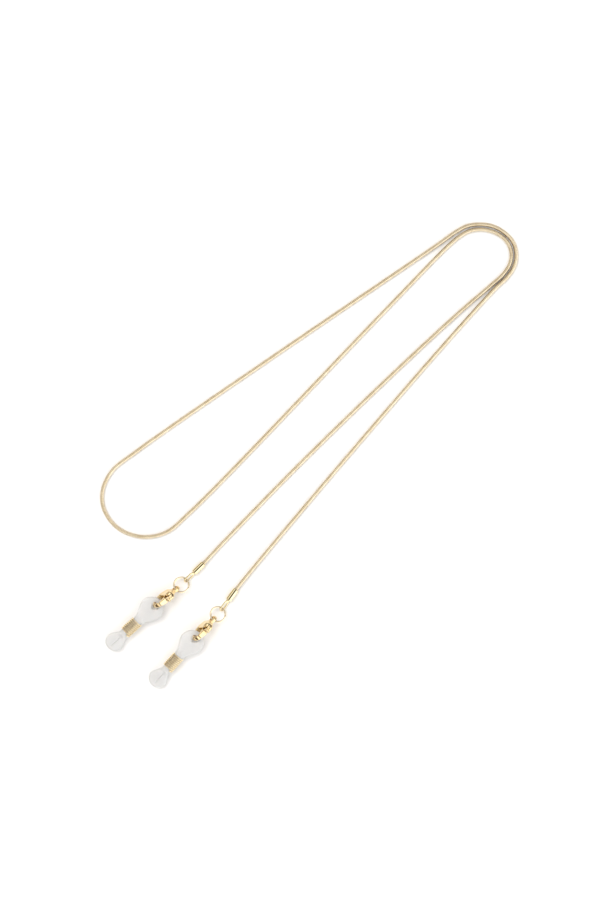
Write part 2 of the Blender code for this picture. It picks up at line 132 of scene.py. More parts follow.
# Temple grip and coil
LEAF_LENGTH = 11.0
COIL_LENGTH = 6.2
GRIP_HALF_THICK = 0.86
LEAF_EDGE_R = 0.66
LOBE_EDGE_R = 0.74
LOBE_CROWN = 0.22
LOBE_CROWN_REACH = 2.4
GRIP_CELL = 0.14
NECK_R = 1.60
NECK_START = 8.2
NECK_FULL_FROM = 10.9
NECK_FULL_IN_LOBE = 1.2
NECK_IN_LOBE = 2.6
RIM_WIDTH = 1.70
TEMPLE_SLIT_LENGTH = 4.4
TEMPLE_SLIT_WIDTH = 0.35
SLIT_FROM_COIL = 2.6
SLIT_SHOWS = 0.02
GRIP_DROP = radians(3.5)
GRIP_ROLL = radians(-10)
GRIP_ON_HOOK = 2.70
GRIP_BELOW_CLASP = 0.47
COIL_WIRE_R = 0.25
COIL_R = 2.00
COIL_PITCH = 0.70
COIL_TURNS = 8.2
COIL_STEPS = 36
COIL_SIDES = 14
COIL_START = LEAF_LENGTH + COIL_WIRE_R + RUNNING_GAP

ENDS = (
    {"side": "left", "mouth": (11.44, 21.82), "cap": 224.3, "clasp": 218.0, "grip": 222.5},
    {"side": "right", "mouth": (22.94, 12.61), "cap": 234.0, "clasp": 226.0, "grip": 228.0},
)


# ---------------------------------------------------------------- frames


def placed(parent, at, turn=(0.0, 0.0, 0.0)):
    """A frame at a place in its parent's, in millimetres, turned about Z, then Y, then X."""
    return parent @ Matrix.Translation(Vector(at)) @ Euler(turn, "XYZ").to_matrix().to_4x4()


def frames_of(end):
    """One end's frames, each a matrix in millimetres."""
    cap_turn, clasp_turn, grip_turn = (radians(end[k]) for k in ("cap", "clasp", "grip"))
    world = Matrix.Identity(4)
    cap = placed(world, (*end["mouth"], CAP_MOUTH_Z), (0.0, -CAP_RISE, cap_turn))
    ring = placed(cap, (RING_FROM_MOUTH, 0.0, 0.0), (0.0, CAP_RISE - RING_RISE, 0.0))
    swivel = placed(ring, (RING_R, 0.0, 0.0), (0.0, 0.0, clasp_turn - cap_turn))
    clasp = placed(swivel, (RING_R, 0.0, 0.0), (CLASP_LEAN, RING_RISE - CLASP_RISE, 0.0))
    hook = clasp @ Vector((BOW_U, 0.0, 0.0)) - Vector((0.0, 0.0, GRIP_BELOW_CLASP))
    pivot = placed(world, hook, (GRIP_ROLL, 0.0, grip_turn))
    moulding = placed(placed(pivot, (0.0, 0.0, 0.0), (0.0, GRIP_DROP, 0.0)), (-GRIP_ON_HOOK, 0.0, 0.0))
    return {"cap": cap, "ring": ring, "clasp": clasp, "moulding": moulding}


# ---------------------------------------------------------------- meshes


def piece(name, points, faces, frame_mm, finish, body, *nodes):
    """A piece from points in millimetres in a frame. It rides on a body and stands for CAD nodes."""
    mesh = bpy.data.meshes.new(name)
    mesh.from_pydata(np.asarray(points, float).tolist(), [], [list(f) for f in faces])
    mesh.transform(Matrix.Scale(MM, 4) @ frame_mm)
    mesh.update()
    mesh.shade_smooth()
    mesh.materials.append(finish)
    obj = bpy.data.objects.new(name, mesh)
    bpy.context.scene.collection.objects.link(obj)
    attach(obj, body)
    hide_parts(*nodes)
    return obj


def tube(points, radius, sides, closed=False):
    """A round wire through points, its radius one number or one for each point, with domed ends."""
    points = np.asarray(points, float)
    radii = np.broadcast_to(np.asarray(radius, float), (len(points),)).copy()
    if not closed:
        first, last = points[1] - points[0], points[-2] - points[-1]
        first, last = first / np.linalg.norm(first), last / np.linalg.norm(last)
        dome = np.array([0.0, 0.06, 0.2, 0.45])
        width = np.array([0.0, 0.55, 0.84, 1.0])
        start = points[0] + np.outer(dome * radii[0], first)
        finish = points[-1] + np.outer(dome[::-1] * radii[-1], last)
        inner = slice(1, len(points) - 1)
        points = np.vstack([start, points[inner], finish])
        radii = np.concatenate([width * radii[0], radii[inner], width[::-1] * radii[-1]])
        radii[0] = radii[-1] = 1e-4
    along = np.roll(points, -1, 0) - np.roll(points, 1, 0)
    if not closed:
        along[0], along[-1] = points[1] - points[0], points[-1] - points[-2]
    along /= np.linalg.norm(along, axis=1)[:, None]
    side = np.cross(along[0], (0.31, 0.17, 0.93))
    sides_dir = []
    for tangent in along:
        side = side - tangent * (side @ tangent)
        side /= np.linalg.norm(side)
        sides_dir.append(side)
    a = np.array(sides_dir)
    b = np.cross(along, a)
    if closed:
        drift = np.arctan2(a[0] @ b[-1], a[0] @ a[-1])
        twist = np.linspace(0, drift, len(points))[:, None]
        a, b = a * np.cos(twist) + b * np.sin(twist), b * np.cos(twist) - a * np.sin(twist)
    turn = 2 * pi * np.arange(sides) / sides
    ring = a[:, None] * np.cos(turn)[None, :, None] + b[:, None] * np.sin(turn)[None, :, None]
    verts = (points[:, None] + ring * radii[:, None, None]).reshape(-1, 3)
    count = len(points)
    faces = []
    for i in range(count if closed else count - 1):
        j = (i + 1) % count
        for k in range(sides):
            m = (k + 1) % sides
            faces.append((i * sides + k, i * sides + m, j * sides + m, j * sides + k))
    if not closed:
        faces.append(tuple(reversed(range(sides))))
        faces.append(tuple(range((count - 1) * sides, count * sides)))
    return verts, faces


def lathe(profile, steps):
    """A turned shape round X from (x, radius) points, closed at both ends on the axis."""
    turn = 2 * pi * np.arange(steps) / steps
    inner = np.array(profile[1:-1], float)
    verts = [
        (x, r * cos(t), r * sin(t)) for x, r in inner for t in turn
    ] + [(profile[0][0], 0.0, 0.0), (profile[-1][0], 0.0, 0.0)]
    faces = []
    for i in range(len(inner) - 1):
        for k in range(steps):
            m = (k + 1) % steps
            faces.append((i * steps + k, i * steps + m, (i + 1) * steps + m, (i + 1) * steps + k))
    start, end, base = len(verts) - 2, len(verts) - 1, (len(inner) - 1) * steps
    for k in range(steps):
        m = (k + 1) % steps
        faces.append((start, m, k))
        faces.append((end, base + k, base + m))
    return verts, faces


# ---------------------------------------------------------------- rounded shapes from distances


def outline_distance(u, v, outline):
    """Signed distance to a closed outline, negative inside."""
    points = np.asarray(outline, float)
    nearest = np.full(np.broadcast(u, v).shape, np.inf)
    inside = np.zeros(nearest.shape, bool)
    for (ax, ay), (bx, by) in zip(points, np.roll(points, -1, 0)):
        ex, ey = bx - ax, by - ay
        t = np.clip(((u - ax) * ex + (v - ay) * ey) / (ex * ex + ey * ey), 0, 1)
        nearest = np.minimum(nearest, (u - ax - t * ex) ** 2 + (v - ay - t * ey) ** 2)
        if ay != by:
            inside ^= ((ay > v) != (by > v)) & (u < ax + (v - ay) * ex / ey)
    return np.where(inside, -1, 1) * np.sqrt(nearest)


def rounded(flat, off, half, radius):
    """An outline's distance thickened to a half thickness, its edges rounded."""
    a = flat + radius
    b = np.abs(off) - half + radius
    return np.hypot(np.maximum(a, 0), np.maximum(b, 0)) + np.minimum(np.maximum(a, b), 0) - radius


def joined(a, b, blend):
    """The union of two distances with a fillet."""
    h = np.clip(0.5 + 0.5 * (b - a) / blend, 0, 1)
    return b + (a - b) * h - blend * h * (1 - h)


def cut(a, b, blend):
    """The first distance less the second, its new edges rounded."""
    return -joined(-a, b, blend)


def skin(distance, low, high, cell):
    """Points and quads where a signed distance is zero, on a grid of cells (surface nets).

    Each point is then moved along the slope onto the surface, in two steps.
    """
    low = np.asarray(low, float)
    counts = np.ceil((np.asarray(high, float) - low) / cell).astype(int) + 1
    x, y, z = (low[i] + cell * np.arange(counts[i]) for i in range(3))
    values = distance(x[:, None, None], y[None, :, None], z[None, None, :])
    values = np.broadcast_to(values, counts).copy()
    shape = counts - 1

    def corner(i, j, k):
        return values[i : i + shape[0], j : j + shape[1], k : k + shape[2]]

    corners = [(i, j, k) for i in (0, 1) for j in (0, 1) for k in (0, 1)]
    below = sum((corner(*c) < 0).astype(int) for c in corners)
    cells = np.argwhere((below > 0) & (below < 8))
    index = np.full(shape, -1)
    index[tuple(cells.T)] = np.arange(len(cells))
    total = np.zeros((len(cells), 3))
    hits = np.zeros(len(cells))
    for c in corners:
        for axis in range(3):
            if c[axis]:
                continue
            other = tuple(c[i] + (i == axis) for i in range(3))
            a = corner(*c)[tuple(cells.T)]
            b = corner(*other)[tuple(cells.T)]
            crosses = (a < 0) != (b < 0)
            t = np.where(crosses, a / np.where(crosses, a - b, 1), 0)
            spot = np.tile(np.array(c, float), (len(cells), 1))
            spot[:, axis] += t
            total += spot * crosses[:, None]
            hits += crosses
    points = low + cell * (cells + total / hits[:, None])
    faces = []
    for axis in range(3):
        one, two = (axis + 1) % 3, (axis + 2) % 3
        first = values[tuple(slice(0, -1) if i == axis else slice(1, -1) for i in range(3))]
        second = values[tuple(slice(1, None) if i == axis else slice(1, -1) for i in range(3))]
        edges = np.argwhere((first < 0) != (second < 0))
        outward = first[tuple(edges.T)] < 0
        around = []
        for step_one, step_two in ((0, 0), (1, 0), (1, 1), (0, 1)):
            spot = edges.copy()
            spot[:, one] += step_one
            spot[:, two] += step_two
            around.append(index[tuple(spot.T)])
        quads = np.stack(around, 1)
        quads[~outward] = quads[~outward][:, ::-1]
        faces.append(quads)
    for _ in range(2):
        x, y, z = points.T
        here = distance(x, y, z)
        h = cell * 0.25
        slope = np.stack(
            [
                distance(x + h, y, z) - distance(x - h, y, z),
                distance(x, y + h, z) - distance(x, y - h, z),
                distance(x, y, z + h) - distance(x, y, z - h),
            ],
            1,
        ) / (2 * h)
        size = np.maximum((slope**2).sum(1), 0.25)
        step = np.clip(here / size, -0.5 * cell, 0.5 * cell)
        points = points - slope * step[:, None]
    return points, np.vstack(faces)


def curve_through(points, steps):
    """Points along a smooth curve through all of the given ones (centripetal Catmull-Rom)."""
    points = np.asarray(points, float)
    ends = np.vstack([2 * points[0] - points[1], points, 2 * points[-1] - points[-2]])
    t = (np.arange(steps) / steps)[:, None]
    found = []
    for before, start, end, after in zip(ends, ends[1:], ends[2:], ends[3:]):
        gaps = ((before, start), (start, end), (end, after))
        t0, t1, t2 = (np.linalg.norm(b - a) ** 0.5 for a, b in gaps)
        leave = end - start + t1 * ((start - before) / t0 - (end - before) / (t0 + t1))
        arrive = end - start + t1 * ((after - end) / t2 - (after - start) / (t1 + t2))
        found.append(
            (2 * t**3 - 3 * t**2 + 1) * start
            + (t**3 - 2 * t**2 + t) * leave
            + (3 * t**2 - 2 * t**3) * end
            + (t**3 - t**2) * arrive
        )
    return np.vstack([*found, points[-1]])


def arc(cx, cy, radius, start, end, count):
    """Points on an arc, angles in degrees."""
    turn = np.radians(np.linspace(start, end, count))
    return np.stack([cx + radius * np.cos(turn), cy + radius * np.sin(turn)], 1)


def mirrored(half):
    """A closed outline from its upper half, which runs from one end of the X axis to the other."""
    half = np.asarray(half, float)
    return np.vstack([half, half[-2:0:-1] * (1, -1)])


# ---------------------------------------------------------------- materials

# The sockets that a Mix node has for its two colours and for the result.
MIX_FIRST = 6
MIX_SECOND = 7
MIX_RESULT = 2

# The span that most of a noise's values lie in.
NOISE_LOW = 0.3
NOISE_HIGH = 0.7

# Gold. Scales are in waves a metre. The recess colours below are painted shade, laid where ambient
# occlusion finds nearby surfaces.
TINT_SCALE = 420.0
GRAIN_SCALE = 2600.0
PAINTED_SHADE_DARK = (0.16, 0.09, 0.04)
PAINTED_SHADE_WARM = (0.60, 0.48, 0.34)
PAINTED_SHADE_FROM = 0.30
PAINTED_SHADE_STRENGTH = 0.85
WHITE = (1.0, 1.0, 1.0)


def new_material(name, **sockets):
    """A material whose shader has these constant values, the underscores in a name read as spaces."""
    made = bpy.data.materials.new(name)
    made.use_nodes = True
    shader = made.node_tree.nodes["Principled BSDF"]
    for key, value in sockets.items():
        shader.inputs[key.replace("_", " ")].default_value = value
    return made, made.node_tree, shader


def node(tree, kind, inputs=(), **settings):
    """A shader node, with settings, and with sockets that are linked or have a constant value."""
    made = tree.nodes.new(kind)
    for key, value in settings.items():
        setattr(made, key, value)
    for key, value in dict(inputs).items():
        if isinstance(value, bpy.types.NodeSocket):
            tree.links.new(value, made.inputs[key])
        else:
            made.inputs[key].default_value = value
    return made


def ramp(tree, fac, stops):
    """A colour ramp's colour. The stops are places and colours."""
    made = node(tree, "ShaderNodeValToRGB", {"Fac": fac})
    band = made.color_ramp
    while len(band.elements) < len(stops):
        band.elements.new(0.5)
    for element, (at, colour) in zip(band.elements, stops):
        element.position = at
        element.color = (*colour, 1.0)
    return made.outputs["Color"]


def noise(tree, place, scale, detail):
    made = node(tree, "ShaderNodeTexNoise", {"Vector": place, "Scale": scale, "Detail": detail})
    return made.outputs["Fac"]


def between(tree, fac, low, high):
    """A noise as a number from low to high."""
    limits = {"From Min": NOISE_LOW, "From Max": NOISE_HIGH, "To Min": low, "To Max": high}
    return node(tree, "ShaderNodeMapRange", {"Value": fac, **limits}).outputs["Result"]


def mixed(tree, way, factor, first, second):
    """Two colours mixed, the way being a blend type."""
    made = node(tree, "ShaderNodeMix", data_type="RGBA", blend_type=way)
    made.inputs["Factor"].default_value = factor
    tree.links.new(first, made.inputs[MIX_FIRST])
    tree.links.new(second, made.inputs[MIX_SECOND])
    return made.outputs[MIX_RESULT]


def gold(name, pale, deep, rough, wave, wave_scale, recess=0.0006, clear=0.85):
    """Gold plate: two close tints, uneven polish, a faint cast or drawn surface, dark recesses.

    Another surface within recess, in metres, darkens this one's colour with painted shade, unless the
    ambient occlusion there is clear or more.
    """
    made, tree, shader = new_material(name, Metallic=1.0)
    place = node(tree, "ShaderNodeTexCoord").outputs["Object"]
    patches = noise(tree, place, TINT_SCALE, 3.0)
    tint = ramp(tree, patches, ((0.32, deep), (0.62, pale)))
    # Painted shade: ambient occlusion darkens the colour towards brown wherever another surface is near.
    nearby = node(tree, "ShaderNodeAmbientOcclusion", {"Distance": recess}, samples=8)
    half_clear = (PAINTED_SHADE_FROM + clear) / 2
    shades = ((PAINTED_SHADE_FROM, PAINTED_SHADE_DARK), (half_clear, PAINTED_SHADE_WARM), (clear, WHITE))
    painted_shade = ramp(tree, nearby.outputs["AO"], shades)
    # The tint is multiplied by the painted shade of the recesses.
    tint_with_painted_shade = mixed(tree, "MULTIPLY", PAINTED_SHADE_STRENGTH, tint, painted_shade)
    tree.links.new(tint_with_painted_shade, shader.inputs["Base Color"])
    grain = noise(tree, place, GRAIN_SCALE, 4.0)
    polish = between(tree, grain, rough * 0.75, rough * 1.4)
    tree.links.new(polish, shader.inputs["Roughness"])
    broad = noise(tree, place, wave_scale, 1.5)
    first = node(tree, "ShaderNodeBump", {"Height": broad, "Strength": wave, "Distance": 0.0002})
    second = node(
        tree,
        "ShaderNodeBump",
        {"Height": grain, "Strength": 0.10, "Distance": 0.00003, "Normal": first.outputs["Normal"]},
    )
    tree.links.new(second.outputs["Normal"], shader.inputs["Normal"])
    return made


def silicone_finish():
    """Milky, see-through silicone with a soft sheen and a trace of haze inside."""
    made, tree, shader = new_material(
        "milky_silicone",
        IOR=1.41,
        Transmission_Weight=0.30,
        Subsurface_Weight=0.70,
        Subsurface_Scale=0.002,
        Subsurface_Radius=(1.0, 0.95, 0.9),
        Specular_IOR_Level=0.5,
        Coat_Weight=0.1,
        Coat_Roughness=0.25,
    )
    place = node(tree, "ShaderNodeTexCoord").outputs["Object"]
    haze = noise(tree, place, 260.0, 3.0)
    colour = ramp(tree, haze, ((NOISE_LOW, (0.74, 0.74, 0.74)), (NOISE_HIGH, (0.79, 0.79, 0.785))))
    tree.links.new(colour, shader.inputs["Base Color"])
    matte = noise(tree, place, 1800.0, 3.0)
    tree.links.new(between(tree, matte, 0.28, 0.38), shader.inputs["Roughness"])
    bump = node(tree, "ShaderNodeBump", {"Height": haze, "Strength": 0.08, "Distance": 0.0001})
    tree.links.new(bump.outputs["Normal"], shader.inputs["Normal"])
    return made


def table_finish():
    """A matt white top, very slightly clouded."""
    made, tree, shader = new_material("white_table", Roughness=0.55, Specular_IOR_Level=0.3)
    place = node(tree, "ShaderNodeTexCoord").outputs["Object"]
    cloud = noise(tree, place, 9.0, 2.0)
    colour = ramp(tree, cloud, ((NOISE_LOW, (0.93, 0.925, 0.92)), (NOISE_HIGH, (0.94, 0.94, 0.94))))
    tree.links.new(colour, shader.inputs["Base Color"])
    return made


# Each gold material below gets shade painted into its recesses by gold().
CHAIN_GOLD = gold("chain_gold", (0.84, 0.74, 0.55), (0.74, 0.63, 0.44), 0.12, 0.04, 1500.0, 0.0005)
CAP_GOLD = gold("cap_gold", (0.92, 0.81, 0.53), (0.87, 0.73, 0.43), 0.04, 0.03, 500.0)
RING_GOLD = gold("ring_gold", (0.94, 0.84, 0.66), (0.90, 0.78, 0.56), 0.04, 0.03, 700.0)
CLASP_GOLD = gold("clasp_gold", (0.92, 0.75, 0.46), (0.86, 0.65, 0.34), 0.08, 0.12, 420.0)
COIL_GOLD = gold("coil_gold", (1.00, 0.86, 0.58), (0.96, 0.79, 0.47), 0.30, 0.04, 2400.0, 0.0006, 0.62)
STEEL = gold("spring_steel", (0.62, 0.62, 0.63), (0.50, 0.50, 0.52), 0.28, 0.05, 2400.0)
SILICONE = silicone_finish()


# ---------------------------------------------------------------- camera, table and light

VIEW_CENTRE = (0.0455, 0.0618)
VIEW_HEIGHT = 0.3177
LENS = 90.0
SENSOR = 36.0

camera = bpy.data.objects.new("camera", bpy.data.cameras.new("camera"))
camera.data.lens = LENS
camera.data.sensor_width = SENSOR
camera.data.clip_start = 0.01
camera.data.clip_end = 20.0
camera.location = (*VIEW_CENTRE, VIEW_HEIGHT * LENS / SENSOR)
bpy.context.scene.collection.objects.link(camera)
bpy.context.scene.camera = camera

TABLE_HALF = 1.6
table_mesh = bpy.data.meshes.new("table")
table_mesh.from_pydata(
    [(sx * TABLE_HALF, sy * TABLE_HALF, 0.0) for sx, sy in ((-1, -1), (1, -1), (1, 1), (-1, 1))],
    [],
    [(0, 1, 2, 3)],
)
table_mesh.materials.append(table_finish())
table = bpy.data.objects.new("table", table_mesh)
bpy.context.scene.collection.objects.link(table)


# The key light is a large softbox, left out of reflections.
KEY_AT = Vector((-0.45, 0.52, 1.00))
KEY_AIM = Vector((0.045, 0.06, 0.0))
KEY_SIZE = 1.1
KEY_WATTS = 10.0

key_light = bpy.data.lights.new("key", "AREA")
key_light.shape = "RECTANGLE"
key_light.size = KEY_SIZE
key_light.size_y = KEY_SIZE
key_light.energy = KEY_WATTS
key = bpy.data.objects.new("key", key_light)
key.location = KEY_AT
key.rotation_euler = (KEY_AIM - KEY_AT).to_track_quat("-Z", "Y").to_euler()
key.visible_glossy = False
bpy.context.scene.collection.objects.link(key)

# The room is dark up to about 25 degrees above the table and pale from about 35. A glow on the lower
# right of the layout reaches down to the table, and a dark patch lies almost straight up.
ROOM_STRENGTH = 1.70
ROOM_SHADES = (
    (0.0, (0.04, 0.02, 0.01)),
    (0.42, (0.07, 0.04, 0.02)),
    (0.58, (0.66, 0.62, 0.56)),
    (1.0, (0.80, 0.79, 0.78)),
)
GLOW_WAY = (0.7, -0.7, 0.62)
PATCH_WAY = (0.03, -0.03, 1.0)

world = bpy.data.worlds.new("studio")
world.use_nodes = True
sky = world.node_tree
background = sky.nodes["Background"]
direction = node(sky, "ShaderNodeTexCoord").outputs["Generated"]
height = node(sky, "ShaderNodeSeparateXYZ", {"Vector": direction}).outputs["Z"]
shade = ramp(sky, height, ROOM_SHADES)


def facing(way, start, finish, low, high):
    """A factor that runs from low to high as the direction turns towards a way."""
    unit = Vector(way).normalized()
    match = node(sky, "ShaderNodeVectorMath", {0: direction, 1: unit}, operation="DOT_PRODUCT")
    inputs = {"Value": match.outputs["Value"], "From Min": start, "From Max": finish}
    inputs |= {"To Min": low, "To Max": high}
    return node(sky, "ShaderNodeMapRange", inputs, interpolation_type="SMOOTHSTEP").outputs["Result"]


glow = facing(GLOW_WAY, 0.52, 0.82, 0.0, 1.0)
patch = facing(PATCH_WAY, 0.89, 0.94, 1.0, 0.02)
lit = mixed(sky, "LIGHTEN", 1.0, shade, glow)
sky.links.new(mixed(sky, "MULTIPLY", 1.0, lit, patch), background.inputs["Color"])
background.inputs["Strength"].default_value = ROOM_STRENGTH
bpy.context.scene.world = world
bpy.context.scene.view_settings.view_transform = "Standard"


# ---------------------------------------------------------------- snake chain


def chain_route(ends):
    """How far along the chain each point of its centre line is, and the points, in millimetres."""
    inside = Vector((CHAIN_IN_CAP, 0.0, 0.0))
    outside = Vector((-CHAIN_STRAIGHT_AT_CAP, 0.0, 0.0))
    left, right = (frames["cap"] for frames in ends)
    middle = [(x, y, CHAIN_REST_Z) for x, y in CHAIN_ROUTE]
    stations = [left @ inside, left @ outside, *middle, right @ outside, right @ inside]
    points = curve_through(stations, CHAIN_CURVE_STEPS)
    points[:, 2] = np.maximum(points[:, 2], CHAIN_REST_Z)
    gone = np.concatenate([[0.0], np.cumsum(np.linalg.norm(np.diff(points, axis=0), axis=1))])
    even = np.linspace(0.0, gone[-1], round(gone[-1] / CHAIN_STEP) + 1)
    return even, np.stack([np.interp(even, gone, points[:, i]) for i in range(3)], 1)


def snake_chain(ends):
    """Wavy scales nested in each other all along the route, each with a groove, a rise and a crown."""
    gone, line = chain_route(ends)
    links = int(gone[-1] / LINK_PITCH)
    pitch = gone[-1] / links
    spots = np.array([(k + at) * pitch for k in range(links) for at, _ in LINK_PROFILE])
    radii = np.array([CHAIN_R * r for _ in range(links) for _, r in LINK_PROFILE])
    turn = 2 * pi * np.arange(CHAIN_SIDES) / CHAIN_SIDES
    wave = LINK_WAVE * np.cos(LINK_WAVES * turn)
    along = np.clip(spots[:, None] + wave[None, :], 0.0, gone[-1])
    centre = np.stack([np.interp(along, gone, line[:, i]) for i in range(3)], -1)
    slope = np.gradient(line, axis=0)
    heading = np.stack([np.interp(along, gone, slope[:, i]) for i in range(3)], -1)
    heading /= np.linalg.norm(heading, axis=-1)[..., None]
    across = np.cross(heading, (0.0, 0.0, 1.0))
    across /= np.linalg.norm(across, axis=-1)[..., None]
    upward = np.cross(across, heading)
    offset = across * np.cos(turn)[None, :, None] + upward * np.sin(turn)[None, :, None]
    verts = (centre + offset * radii[:, None, None]).reshape(-1, 3)
    rings = len(spots)
    i = np.arange(rings - 1)[:, None] * CHAIN_SIDES
    k = np.arange(CHAIN_SIDES)[None, :]
    m = (k + 1) % CHAIN_SIDES
    faces = np.stack([i + k, i + CHAIN_SIDES + k, i + CHAIN_SIDES + m, i + m], -1)
    faces = faces.reshape(-1, 4).tolist()
    faces.append(list(range(CHAIN_SIDES)))
    faces.append(list(range((rings - 1) * CHAIN_SIDES, rings * CHAIN_SIDES))[::-1])
    world = Matrix.Identity(4)
    chain = piece("snake_chain_links", verts, faces, world, CHAIN_GOLD, "strap", "snake_chain")


# ---------------------------------------------------------------- end cap and jump ring


def end_cap(side, frames):
    """A drawn tube over the chain, necked down to the shank of a racetrack eye."""
    eye_near = CAP_LENGTH + CAP_NOSE
    tilt = (cos(CAP_EYE_ROLL), sin(CAP_EYE_ROLL))

    def distance(x, y, z):
        radial = np.hypot(y, z)
        middle = CAP_LENGTH / 2
        sleeve = rounded(radial - CAP_R, x - middle, middle, CAP_EDGE_R)
        stops = (0.0, CAP_LENGTH - 0.3, CAP_LENGTH + 0.35, CAP_LENGTH + 0.85)
        neck_r = np.interp(x, stops, (0.75, 0.80, 0.58, 0.46))
        neck = np.maximum(radial - neck_r, np.abs(x - (CAP_LENGTH - 0.3)) - 1.2)
        across = y * tilt[1] - z * tilt[0]
        off = y * tilt[0] + z * tilt[1]
        straight = np.clip(x, eye_near, eye_near + CAP_EYE_STRAIGHT)
        eye = np.hypot(np.hypot(x - straight, across) - CAP_EYE_R, off) - CAP_EYE_WIRE_R
        body = joined(joined(sleeve, neck, 0.25), eye, 0.22)
        bore = np.maximum(radial - CAP_BORE_R, x - CAP_BORE_DEPTH)
        return cut(body, bore, 0.08)

    half = CAP_EYE_R + CAP_EYE_WIRE_R + 0.15
    far = eye_near + CAP_EYE_STRAIGHT + half
    points, faces = skin(distance, (-0.2, -half, -half), (far, half, half), CAP_CELL)
    cap = piece(side + "_end_cap_tube", points, faces, frames["cap"], CAP_GOLD, "strap", side + "_end_cap")


def jump_ring(side, frames):
    """A round wire bent into a ring, its two ends almost meeting."""
    start = RING_SPLIT_AT + RING_SPLIT / 2
    turn = np.linspace(start, start + 2 * pi - RING_SPLIT, RING_STEPS)
    points = np.stack([RING_R + RING_R * np.cos(turn), RING_R * np.sin(turn), 0 * turn], 1)
    verts, faces = tube(points, RING_WIRE_R, RING_SIDES)
    ring = piece(
        side + "_jump_ring_wire", verts, faces, frames["ring"], RING_GOLD, side + "_ring",
        side + "_jump_ring",
    )


# ---------------------------------------------------------------- lobster clasp


def clasp_half(x):
    """Half the clasp's thickness at a place along it."""
    halves = (0.65, 0.72, CLASP_HALF_THICK, CLASP_HALF_THICK, 0.92, 0.50)
    return np.interp(x, (0.6, 1.1, 2.3, 5.6, 8.3, 9.9), halves)


def clasp_body(side, frames):
    """The casting: a ring eye, two cheeks with the lever's slot between them, and the hook."""
    lower = curve_through(
        ((7.78, 2.48), (8.6, 2.1), (9.35, 1.4), (9.8, 0.55), (9.9, -0.3), (9.6, -1.2), (8.9, -2.05),
         (7.9, -2.65), (6.6, -3.0), (5.2, -3.0), (3.9, -2.7), (2.8, -2.25), (1.9, -1.7), (1.15, -1.1)), 4
    )
    eye = arc(0.0, 0.0, CLASP_EYE_R, -60, -300, 25)
    upper = curve_through(((1.15, 1.1), (1.7, 1.6), (2.4, 2.1), (3.2, 2.2), (4.0, 2.0), (4.55, 1.4)), 4)
    opening = curve_through(
        ((4.75, 0.5), (5.1, -0.6), (5.5, -1.4), (6.3, -1.72), (7.3, -1.7), (8.05, -1.5), (8.38, -0.9),
         (8.42, 0.4), (8.2, 1.25), (7.8, 1.8)), 4
    )
    outline = np.vstack([lower, eye[1:-1], upper, opening])
    slot = (
        (1.85, 3.0), (1.85, 0.3), (2.3, -0.05), (3.72, -0.05), (3.72, -1.05),
        (4.6, -1.05), (4.6, 0.3), (5.4, 0.3), (5.4, 3.0),
    )

    def distance(x, y, z):
        flat = outline_distance(x, z, outline)
        shape = rounded(flat, y, clasp_half(x), CLASP_EDGE_R)
        shape = cut(shape, np.hypot(x, z) - CLASP_EYE_HOLE_R, 0.25)
        shape = cut(shape, np.maximum(outline_distance(x, z, slot), np.abs(y) - SLOT_HALF_WIDTH), 0.10)
        return cut(shape, np.hypot(x - PIVOT_U, z - PIVOT_V) - RIVET_R - RUNNING_GAP, 0.06)

    points, faces = skin(distance, (-1.7, -1.6, -3.2), (10.1, 1.6, 2.9), CLASP_CELL)
    body = piece(
        side + "_clasp_casting", points, faces, frames["clasp"], CLASP_GOLD, side + "_clasp",
        side + "_clasp_body",
    )


def clasp_trigger(side, frames):
    """The lever: a narrow knuckle and arm in the slot, a blade that shuts the hook, a thumb tab."""
    knuckle = arc(PIVOT_U, PIVOT_V, KNUCKLE_R, 100, 290, 24)
    arm = (
        (3.6, 0.62), (4.5, 0.62), (5.3, 1.35), (5.6, 2.4), (4.9, 3.2), (4.6, 3.9), (4.2, 4.1),
        (3.8, 3.8), (3.5, 2.9),
    )
    narrow = np.vstack([knuckle, arm])
    blade = curve_through(
        ((4.9, 1.0), (5.3, 1.45), (6.0, 1.82), (6.9, 1.95), (7.66, 1.88), (7.62, 2.52), (6.8, 2.82),
         (5.8, 3.02), (4.95, 3.08)), 4
    )
    tab = curve_through(
        ((4.75, 3.05), (4.75, 3.6), (4.5, 4.1), (4.15, 4.25), (3.8, 4.0), (3.65, 3.5), (3.7, 3.0)), 4
    )

    def distance(x, y, z):
        lever = rounded(outline_distance(x, z, narrow), y, LEVER_HALF_THICK, 0.14)
        wide = rounded(outline_distance(x, z, blade), y, clasp_half(x) / CLASP_HALF_THICK, 0.28)
        pad = rounded(outline_distance(x, z, tab), y, TAB_HALF_THICK, 0.26)
        shape = joined(joined(lever, wide, 0.12), pad, 0.18)
        return cut(shape, np.hypot(x - PIVOT_U, z - PIVOT_V) - RIVET_R - RUNNING_GAP, 0.04)

    points, faces = skin(distance, (1.8, -1.2, 0.0), (7.9, 1.2, 4.4), LEVER_CELL)
    trigger = piece(
        side + "_clasp_lever", points, faces, frames["clasp"], CLASP_GOLD, side + "_trigger",
        side + "_clasp_trigger",
    )


def clasp_rivet(side, frames):
    """A headed pin through both cheeks, its heads slightly domed."""
    head = RIVET_HALF + RIVET_HEAD_RISE
    dome = [(head - 0.02, 0.15), (head - 0.05, 0.38), (head - 0.09, 0.54), (head - 0.16, RIVET_HEAD_R)]
    right = [(head, 0.0), *dome, (RIVET_HALF, RIVET_HEAD_R), (RIVET_HALF, RIVET_R)]
    profile = [(-x, r) for x, r in right] + list(reversed(right))
    verts, faces = lathe(profile, RIVET_STEPS)
    turned = Matrix.Translation((PIVOT_U, 0.0, PIVOT_V)) @ Matrix.Rotation(radians(90), 4, "Z")
    rivet = piece(
        side + "_clasp_rivet_pin", verts, faces, frames["clasp"] @ turned, CLASP_GOLD, side + "_clasp",
        side + "_clasp_rivet",
    )


